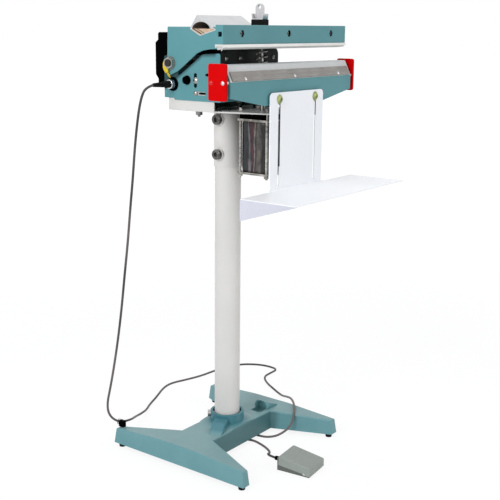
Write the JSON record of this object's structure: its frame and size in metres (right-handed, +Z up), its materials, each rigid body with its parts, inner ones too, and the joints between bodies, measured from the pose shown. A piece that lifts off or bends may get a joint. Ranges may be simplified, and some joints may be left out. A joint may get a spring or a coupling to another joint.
{
  "type": "freestanding impulse sealer",
  "caption": "Freestanding impulse sealer: cast H base, round column, hinged upper jaw over a heated lower jaw, magnet drive, sliding product shelf and corded foot switch.",
  "frame": {"origin": "the floor point on the column's centre line", "axes": "+Z up; +X runs along the sealing jaws to the operator's right as seen from the front; the operator stands at -Y"},
  "size_m": [0.7277, 0.6946, 1.036],
  "materials": {
    "teal_iron": "smooth enamel over casting",
    "teal_paint": "semi-gloss enamel",
    "white_paint": "smooth powder coat",
    "steel": "plain machined",
    "chrome": "bright plated",
    "zinc_yellow": "yellow passivated zinc",
    "black_paint": "satin black",
    "black_plastic": "fine moulded grain",
    "aluminium": "mill finish",
    "stainless": "brushed stainless sheet",
    "cloth": "coated glass cloth, satin",
    "silicone": "smooth silicone",
    "red_paint": "gloss enamel",
    "grey_plastic": "fine moulded grain",
    "rubber": "moulded rubber",
    "cord_rubber": "satin cable sheath",
    "varnish": "varnished winding",
    "board": "solder resist",
    "nichrome": "rolled resistance strip",
    "laminate": "phenolic laminate"
  },
  "bodies": {
    "stand": {"base_casting": "teal_iron", "base_set_bolt": "steel", "rubber_feet": "rubber", "column_tube": "white_paint", "column_sleeve": "white_paint", "column_bolts": "steel", "tray_plate": "white_paint", "tray_fasteners": "steel", "lower_housing": "teal_paint", "front_panel": "black_paint", "rear_cover": "black_plastic", "housing_screws": "chrome", "housing_pin": "black_plastic", "fuse_holder": "black_plastic", "cable_socket": "chrome", "socket_ring": "chrome", "cable_boot": "cord_rubber", "pivot_shaft": "steel", "pivot_nuts": "steel", "transformer": "steel", "timer_board": "board", "return_spring": "steel", "jaw_bracket": "black_paint", "bracket_bolts": "steel", "lower_jaw": "teal_paint", "insulating_strip": "laminate", "heating_ribbon": "nichrome", "ptfe_cloth": "cloth", "press_strip": "steel", "press_strip_screws": "chrome", "end_cap_left": "red_paint", "end_cap_right": "red_paint", "end_cap_screws": "chrome", "shelf_screws": "zinc_yellow", "magnet_plates": "steel", "magnet_coil": "varnish", "magnet_spacer": "black_plastic", "magnet_rods": "steel", "switch_base": "grey_plastic", "switch_pin": "steel", "switch_micro": "black_plastic", "cable_clip": "black_plastic", "clip_ring": "chrome", "cable": "cord_rubber"},
    "arm": {"arm_shell": "teal_paint", "upper_jaw_bar": "teal_paint", "bar_screws": "steel", "pad_holder": "aluminium", "silicone_pad": "silicone", "control_box": "stainless", "anchor_buffer": "rubber", "anchor_eye": "steel", "anchor_clevis": "steel", "clevis_pin": "steel"},
    "link": {"pull_link": "steel"},
    "magnet_plunger": {"plunger": "steel"},
    "shelf": {"shelf_plate": "white_paint", "shelf_sheet": "white_paint", "shelf_rivets": "chrome"},
    "pedal": {"switch_lid": "grey_plastic"}
  },
  "joints": [
    {"name": "arm_hinge", "type": "hinge", "parent": "stand", "child": "arm", "pos_m": [0, 0.076, 0.9086], "axis": [1, 0, 0], "range_deg": [0, 7.3], "stiffness_Nm_per_rad": 60, "springref_deg": -11.46, "deforming": ["return_spring"]},
    {"name": "link_pivot", "type": "hinge", "parent": "arm", "child": "link", "pos_m": [0, -0.086, 0.96], "axis": [1, 0, 0], "range_deg": [-5, 0]},
    {"name": "plunger_slide", "type": "slide", "parent": "stand", "child": "magnet_plunger", "axis": [0, 0, -1], "range_m": [0, 0.0215]},
    {"name": "shelf_slide", "type": "slide", "parent": "stand", "child": "shelf", "axis": [0, 0, 1], "range_m": [0, 0.165]},
    {"name": "pedal_hinge", "type": "hinge", "parent": "stand", "child": "pedal", "pos_m": [-0.01283, -0.25432, 0.008], "axis": [-0.9936, -0.1132, 0], "range_deg": [0, 2.3], "stiffness_Nm_per_rad": 3, "springref_deg": -5.73}
  ],
  "couplings": [
    {"joint": "link_pivot", "follows": "arm_hinge", "ratio": -0.6466},
    {"joint": "plunger_slide", "follows": "arm_hinge", "m_per_rad": 0.1672}
  ]
}
